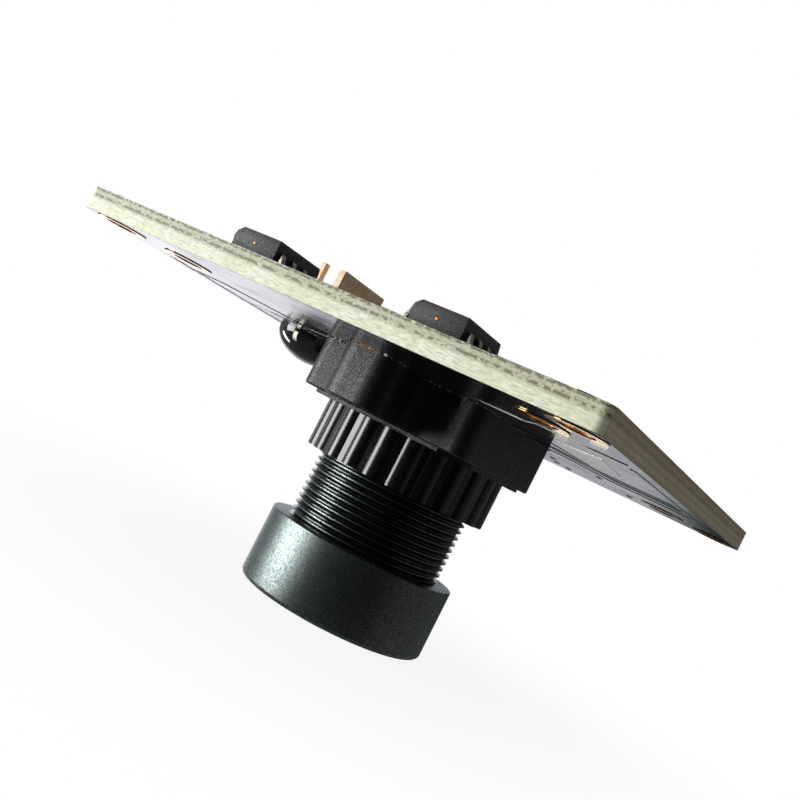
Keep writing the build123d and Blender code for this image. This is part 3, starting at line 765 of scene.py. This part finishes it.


# Epoxy dome: a drop of glossy black resin over a bare chip on the lens side. It flowed out before
# it set into an even round drop, and its skin is mirror smooth.
dome_middle = (dome_low + dome_high) / 2
drop = bmesh.new()
dome_radius = (dome_high.x - dome_low.x) / 2
dome_rise = board_low.z - dome_low.z
arc = [
    (dome_radius * math.cos(math.radians(a)), board_low.z - dome_rise * math.sin(math.radians(a)))
    for a in range(0, 91, 5)
]
points = [drop.verts.new((max(radius, 0), 0, height)) for radius, height in arc]
edges = [drop.edges.new(pair) for pair in zip(points, points[1:])]
bmesh.ops.spin(
    drop, geom=edges, cent=(0, 0, 0), axis=(0, 0, 1), dvec=(0, 0, 0),
    angle=2 * math.pi, steps=96, use_merge=True,
)
bmesh.ops.remove_doubles(drop, verts=drop.verts, dist=0.001 * mm)
foot = [edge for edge in drop.edges if edge.is_boundary]
bmesh.ops.edgeloop_fill(drop, edges=foot)
bmesh.ops.translate(drop, vec=(dome_middle.x, dome_middle.y, 0), verts=drop.verts)
resin_black = new_finish("epoxy resin, black")
made_of(drop, "epoxy_drop", resin_black.surface(
    base_color=resin_black.mixed(
        resin_black.noise(1.5 * mm).ramp(0.4, 0.6), tint(9, 10, 11), tint(16, 17, 19)
    ),
    roughness=resin_black.noise(0.9 * mm).ramp(0.3, 0.7, 0.05, 0.09),
    normal=resin_black.bumped(resin_black.noise(2.2 * mm), 0.01 * mm),
), 40, stands_for=["epoxy_dome"])


# Small-outline chips: two bodies of dark moulding compound by the front edge. Each has drafted
# sides that meet at a parting line, softly rounded edges and a long bevel along its first side.
draft = math.tan(math.radians(7))
chip_break = 0.07 * mm
chip_bevel = 0.35 * mm


def mould(work, low, high, bevel=0.0):
    """A drafted chip body that fills its box, with soft edges and a bevel along its -X top edge."""
    size = high - low
    inset = draft * size.z / 2
    body = bmesh.ops.create_cube(work, size=1)["verts"]
    bmesh.ops.scale(work, vec=size, verts=body)
    bmesh.ops.translate(work, vec=(low + high) / 2, verts=body)
    middle = (low + high) / 2
    bmesh.ops.bisect_plane(
        work, geom=list(work.verts) + list(work.edges) + list(work.faces),
        plane_co=middle, plane_no=(0, 0, 1),
    )
    for v in body:
        v.co.x -= math.copysign(inset, v.co.x - middle.x)
        v.co.y -= math.copysign(inset, v.co.y - middle.y)
    if bevel:
        near_top = high.z - 0.01 * mm
        first = [
            e for e in work.edges
            if all(v.co.z > near_top and v.co.x < middle.x for v in e.verts)
        ]
        bmesh.ops.bevel(
            work, geom=first, offset=bevel, segments=1, profile=0.5, affect="EDGES", material=-1
        )
    sharp = [e for e in work.edges if e.calc_face_angle(0) > math.radians(20)]
    bmesh.ops.bevel(
        work, geom=sharp, offset=chip_break, segments=3, profile=0.5, affect="EDGES", material=-1
    )


compound = new_finish("chip moulding compound")
grit = compound.noise(0.13 * mm, 4.0, 0.75)
patchy = compound.noise(1.2 * mm, 2.0, 0.5)
gritty = compound.mixed(grit.ramp(0.4, 0.6), tint(19, 21, 21), tint(33, 36, 34))
compound_black = compound.surface(
    base_color=compound.mixed(patchy.ramp(0.4, 0.62), gritty, tint(38, 42, 40)),
    roughness=grit.ramp(0.3, 0.7, 0.44, 0.6),
    normal=compound.bumped(grit, 0.03 * mm),
)
for side, low, high in (("left", left_low, left_high), ("right", right_low, right_high)):
    shell = bmesh.new()
    mould(shell, low, high, chip_bevel)
    made_of(
        shell, side + "_chip_body", compound_black, 30, stands_for=[side + "_chip"]
    )
for name in ("processor_chip", "regulator_chip"):
    cover(name, compound_black)


# Gull-wing leads: strips of tinned copper that leave each chip at its parting line, turn down in
# a round bend and turn out again to lie in their solder. The bar that held each small-outline
# chip in its frame was sheared off, and shows as a dot of copper in the middle of both ends.
def bend_leads(work, places, reach, shoulder, foot, parting, thickness, width, floor):
    """Leads that run towards +X from the middle of their chip, copied to (place, row, turn)."""
    root = reach - foot - shoulder - 0.1 * mm
    first = [work.verts.new((root, side * width / 2, floor + parting)) for side in (-1, 1)]
    strip = work.edges.new(first)
    for out, up in (
        (shoulder, 0),
        (shoulder * 0.35 + thickness, thickness / 2 - parting),
        (foot - thickness * 0.6, 0),
    ):
        grown = bmesh.ops.extrude_edge_only(work, edges=[strip])["geom"]
        strip = next(part for part in grown if isinstance(part, bmesh.types.BMEdge))
        fresh = [part for part in grown if isinstance(part, bmesh.types.BMVert)]
        bmesh.ops.translate(work, vec=(out, 0, up), verts=fresh)
    bends = [e for e in work.edges if len(e.link_faces) == 2]
    bmesh.ops.bevel(
        work, geom=bends, offset=thickness * 0.9, segments=4, profile=0.5, affect="EDGES",
        material=-1,
    )
    bmesh.ops.recalc_face_normals(work, faces=work.faces)
    bmesh.ops.solidify(work, geom=list(work.faces), thickness=thickness)
    bmesh.ops.recalc_face_normals(work, faces=work.faces)
    low = min(v.co.z for v in work.verts)
    far = max(v.co.x for v in work.verts)
    bmesh.ops.translate(work, vec=(reach - far, 0, floor - low), verts=work.verts)
    pattern = list(work.verts) + list(work.edges) + list(work.faces)
    for (x, y), row, angle in places:
        copied = bmesh.ops.duplicate(work, geom=pattern)["geom"]
        points = [part for part in copied if isinstance(part, bmesh.types.BMVert)]
        bmesh.ops.translate(work, vec=(0, row, 0), verts=points)
        turned_by = Matrix.Rotation(math.radians(angle), 3, "Z")
        bmesh.ops.rotate(work, cent=(0, 0, 0), matrix=turned_by, verts=points)
        bmesh.ops.translate(work, vec=(x, y, 0), verts=points)
    pattern_points = [part for part in pattern if isinstance(part, bmesh.types.BMVert)]
    bmesh.ops.delete(work, geom=pattern_points, context="VERTS")


tin = new_finish("tinned leads")
dipped = tin.noise(0.25 * mm, 3.0, 0.6)
tinned = tin.surface(
    base_color=tin.mixed(dipped.ramp(0.35, 0.65), tint(96, 92, 80), tint(150, 144, 126)),
    metallic=1.0,
    roughness=dipped.ramp(0.3, 0.7, 0.26, 0.42),
    normal=tin.bumped(dipped, 0.006 * mm),
)
copper = new_finish("sheared copper")
copper_end = copper.surface(
    base_color=copper.mixed(
        copper.noise(0.1 * mm).ramp(0.4, 0.6), tint(150, 84, 46), tint(196, 122, 70)
    ),
    metallic=1.0,
    roughness=0.45,
)
chip_pitch = 1.27
processor_pitch = 0.5
tie_bar_size = Vector((0.26, 0.1, 0.13)) * mm
tie_bar_inset = 0.02 * mm
rows = [(i - 1.5) * chip_pitch * mm for i in range(4)]
for side, low, high in (("left", left_low, left_high), ("right", right_low, right_high)):
    middle = (low + high) / 2
    leads = bmesh.new()
    bend_leads(
        leads, [((middle.x, middle.y), row, angle) for row in rows for angle in (0, 180)],
        reach=3.0 * mm, shoulder=0.3 * mm, foot=0.65 * mm, parting=0.975 * mm,
        thickness=0.2 * mm, width=0.42 * mm, floor=board_high.z,
    )
    made_of(
        leads, side + "_chip_gull_leads", tinned, 40,
        stands_for=[side + "_chip_leads"],
    )
    stubs = bmesh.new()
    for end in (low.y + tie_bar_inset, high.y - tie_bar_inset):
        stub = bmesh.ops.create_cube(stubs, size=1)["verts"]
        bmesh.ops.scale(stubs, vec=tie_bar_size, verts=stub)
        bmesh.ops.translate(stubs, vec=(middle.x, end, middle.z), verts=stub)
    bmesh.ops.bevel(
        stubs, geom=list(stubs.edges), offset=0.02 * mm, segments=2, profile=0.5, affect="EDGES",
        material=-1,
    )
    made_of(
        stubs, side + "_chip_tie_bar", copper_end, 40,
        stands_for=[side + "_chip_leads"],
    )
sides = bmesh.new()
bend_leads(
    sides,
    [
        ((0, 0), (i - 5.5) * processor_pitch * mm, angle)
        for angle in (0, 90, 180, 270) for i in range(12)
    ],
    reach=4.5 * mm, shoulder=0.2 * mm, foot=0.5 * mm, parting=0.8 * mm,
    thickness=0.13 * mm, width=0.22 * mm, floor=board_high.z,
)
made_of(sides, "processor_gull_leads", tinned, 40, stands_for=["processor_leads"])
cover("regulator_leads", tinned)


# Solder: each lead of the two small chips and of the processor sits in a small bright fillet
# that wetted the pad round it.
solder = new_finish("solder")
wetted = solder.surface(
    base_color=solder.mixed(
        solder.noise(0.3 * mm).ramp(0.4, 0.6), tint(178, 178, 176), tint(214, 213, 208)
    ),
    metallic=1.0,
    roughness=solder.noise(0.2 * mm).ramp(0.3, 0.7, 0.16, 0.3),
)


def wet(work, x, y, width, depth, rise=0.12, sunk=0.004, top_share=0.62):
    """A low bead of solder with sloping sides on the back of the board, in millimetres."""
    bead = bmesh.ops.create_cube(work, size=mm)["verts"]
    bmesh.ops.scale(work, vec=(width, depth, rise), verts=bead)
    bmesh.ops.translate(work, vec=(0, 0, (rise / 2 - sunk) * mm), verts=bead)
    for v in bead:
        if v.co.z > rise * mm / 2:
            v.co.x *= top_share
            v.co.y *= top_share
    bmesh.ops.translate(work, vec=(x * mm, y * mm, board_high.z), verts=bead)


beads = bmesh.new()
for low, high in ((left_low, left_high), (right_low, right_high)):
    middle = (low + high) / 2 / mm
    for i in range(4):
        for end in (-1, 1):
            wet(beads, middle.x + end * 2.75, middle.y + (i - 1.5) * chip_pitch, 0.85, 0.62)
foot_middle = 4.3
for i in range(12):
    offset = (i - 5.5) * processor_pitch
    for end in (-1, 1):
        wet(beads, end * foot_middle, offset, 0.7, 0.3, rise=0.07)
        wet(beads, offset, end * foot_middle, 0.3, 0.7, rise=0.07)
bmesh.ops.bevel(
    beads, geom=list(beads.edges), offset=0.02 * mm, segments=1, profile=0.5, affect="EDGES",
    material=-1,
)
made_of(beads, "solder_beads", wetted, 60)


# Cable connector: a four-way header moulded in ivory nylon, with square gold-plated contacts in
# its floor and solder tabs at both ends. The nylon is slightly waxy, with soft clouds of a warmer
# tone.
nylon = new_finish("ivory nylon")
waxy = nylon.noise(1.1 * mm, 2.0, 0.5)
cover("connector_housing", nylon.surface(
    base_color=nylon.mixed(waxy.ramp(0.4, 0.6), tint(226, 190, 150), tint(238, 210, 174)),
    roughness=0.45,
    normal=nylon.bumped(nylon.noise(0.1 * mm, 2.0), 0.006 * mm),
))
cover("connector_pins", plating)
cover("connector_tabs", tinned)


# Clock crystal: a drawn nickel lid seam-welded to a ceramic base, brushed along its length.
can = new_finish("brushed nickel can")
brushed = can.noise(
    1.0, 2.0, 0.6, can.stretched(1 / (1.2 * mm), 1 / (0.05 * mm), 1 / (0.3 * mm))
)
cover("clock_crystal", can.surface(
    base_color=can.mixed(brushed.ramp(0.35, 0.65), tint(150, 148, 142), tint(196, 194, 186)),
    metallic=1.0,
    roughness=brushed.ramp(0.3, 0.7, 0.24, 0.38),
    normal=can.bumped(brushed, 0.002 * mm),
))


# Capacitors and resistors: fired ceramic blocks with dipped silver-tin ends. The capacitors are
# taupe all through; the resistors are white with a black glazed film on their tops.
fired = new_finish("fired capacitor ceramic")
speckled = fired.noise(0.2 * mm, 3.0, 0.6)
taupe = fired.surface(
    base_color=fired.mixed(speckled.ramp(0.38, 0.62), tint(128, 106, 82), tint(158, 136, 108)),
    roughness=0.45,
)
cover("ceramic_capacitors", taupe)
cover("edge_capacitor", taupe)
film = new_finish("resistor film")
resistor_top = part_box("chip_resistors")[1].z
topped = film.axes()[2].ramp(resistor_top - 0.06 * mm, resistor_top - 0.05 * mm)
glazed = film.mixed(film.noise(0.2 * mm), tint(18, 18, 20), tint(34, 34, 36))
cover("chip_resistors", film.surface(
    base_color=film.mixed(topped, tint(214, 212, 204), glazed),
    roughness=0.3,
))
for name in ("capacitor_caps", "resistor_caps", "edge_capacitor_caps"):
    cover(name, tinned)


# Floor: a plain pale sheet under the lens rim, which keeps a faint shadow near the object and
# runs out into the white of the studio. Light passes it from below, and so does a look upwards,
# because the module in the photograph floats free.
floor_radius = 0.16
sheet = bmesh.new()
bmesh.ops.create_circle(sheet, cap_ends=True, segments=96, radius=floor_radius)
floor_mesh = bpy.data.meshes.new("floor")
sheet.to_mesh(floor_mesh)
sheet.free()
floor = bpy.data.objects.new("floor", floor_mesh)
bpy.context.scene.collection.objects.link(floor)
paper = new_finish("pale floor")
reach = paper.node("ShaderNodeVectorMath", {"operation": "LENGTH"}, {0: paper.spot}, "Value")
white = paper.node("ShaderNodeEmission", None, {"Color": (1, 1, 1, 1), "Strength": 1.0})
pale = paper.node("ShaderNodeBsdfDiffuse", None, {"Color": (0.9, 0.9, 0.9, 1)})
kept = reach.ramp(0.01, 0.045, 0.1, 0.0)
shown = paper.node("ShaderNodeMixShader", None, {0: kept, 1: white, 2: pale})
nothing = paper.node("ShaderNodeBsdfTransparent")
under = paper.node("ShaderNodeNewGeometry", output="Backfacing")
in_view = paper.seen_straight() * (1 - under)
sheet_look = paper.node("ShaderNodeMixShader", None, {0: in_view, 1: nothing, 2: shown})
run_out = reach.ramp(0.06, 0.15)
faded = paper.node("ShaderNodeMixShader", None, {0: run_out, 1: sheet_look, 2: nothing})
floor_mesh.materials.append(paper.ended(faded))


# Studio: a white room that the camera sees as plain white. For the object it is pale above and
# to the left and dark to the right and behind the camera, as flags round a small product are.
studio = Finish(bpy.data.worlds.new("studio"))
bpy.context.scene.world = studio.holder
way = studio.node("ShaderNodeTexCoord", output="Generated")
east, north, up = studio.axes(way)


def toward(x, y, low, high, strength):
    """Light that grows as a ray turns towards the level direction (x, y)."""
    facing = east * x + north * y
    return facing.ramp(low, high, 0.0, strength)


west = 0 - east
far_west = west.ramp(0.21, 0.3, 0.0, 0.55) + west.ramp(0.42, 0.78, 0.0, 0.95)
far_wall = far_west * north.ramp(0.4, 0.62)
left_wall = toward(-0.98, -0.2, 0.55, 1.0, 0.42)
right_wall = toward(0.75, 0.66, 0.35, 1.0, 0.17)
level_light = far_wall + left_wall + right_wall + 0.015
overhead = up.ramp(0.2, 0.95, 0.0, 0.62)
below = (0 - up).ramp(0.1, 0.8, 0.0, 0.2)
flat = 1 - up.size().ramp(0.35, 0.8)
room = level_light * flat + overhead + below
cool = studio.mixed(level_light.ramp(0.3, 0.6), (0.9, 0.98, 1.0, 1.0), (0.93, 0.94, 1.0, 1.0))
tone = studio.mixed(east.ramp(0.2, 0.7), cool, (1.0, 0.93, 0.86, 1.0))
room_light = studio.node("ShaderNodeBackground", None, {"Color": tone, "Strength": room})
white_wall = studio.node("ShaderNodeBackground", None, {"Color": (1, 1, 1, 1), "Strength": 1.0})
both = studio.node(
    "ShaderNodeMixShader", None, {0: studio.seen_straight(), 1: room_light, 2: white_wall}
)
studio.ended(both, "ShaderNodeOutputWorld")


# Lamps: one soft box beside and behind the camera on the left, level with the module, and four
# small ones below the board, two that glint on the resin dome and two on the gold rings of one
# corner. Each of those two stands where its ring mirrors it into the camera.
def soft_box(name, place, aim, width, depth, watts, lean=0.0, spread=180.0, colour=(1, 1, 1)):
    """A flat lamp aimed at a point, leaned about its aim and narrowed to a cone, in degrees."""
    lamp = bpy.data.lights.new(name, "AREA")
    lamp.shape = "RECTANGLE"
    lamp.size = width
    lamp.size_y = depth
    lamp.energy = watts
    lamp.spread = math.radians(spread)
    lamp.color = colour
    stand = bpy.data.objects.new(name, lamp)
    bpy.context.scene.collection.objects.link(stand)
    stand.location = place
    faced = (Vector(aim) - Vector(place)).to_track_quat("-Z", "Y").to_matrix()
    stand.rotation_euler = (faced @ Matrix.Rotation(math.radians(lean), 3, "Z")).to_euler()
    stand.visible_camera = False


soft_box(
    "key_box", (-0.308, -0.238, 0.0145), (0, 0, 0.012), width=0.21, depth=0.26, watts=2.15
)
dome_aim = (-0.0158, 0.0041, 0.017)
soft_box(
    "dome_bar", (-0.0229, -0.0093, 0.0082), dome_aim, width=0.0038, depth=0.0155, watts=0.0006,
    lean=-22, spread=64, colour=(1.0, 0.97, 0.84),
)
soft_box(
    "dome_rim", (-0.0345, 0.0017, 0.0050), dome_aim, width=0.004, depth=0.012, watts=0.00024,
    spread=44,
)
beyond_share = 0.2
for name, x, y in (("outer_glint", 0.01915, -0.0174), ("inner_glint", 0.0156, -0.0138)):
    mirrored = Vector((x, y, board_low.z))
    beyond = mirrored + (mirrored - camera_place) * beyond_share
    beyond.z = 2 * board_low.z - beyond.z
    soft_box(
        name, beyond, mirrored, width=0.0011, depth=0.00018, watts=0.0000022,
        colour=(1.0, 0.84, 0.56),
    )
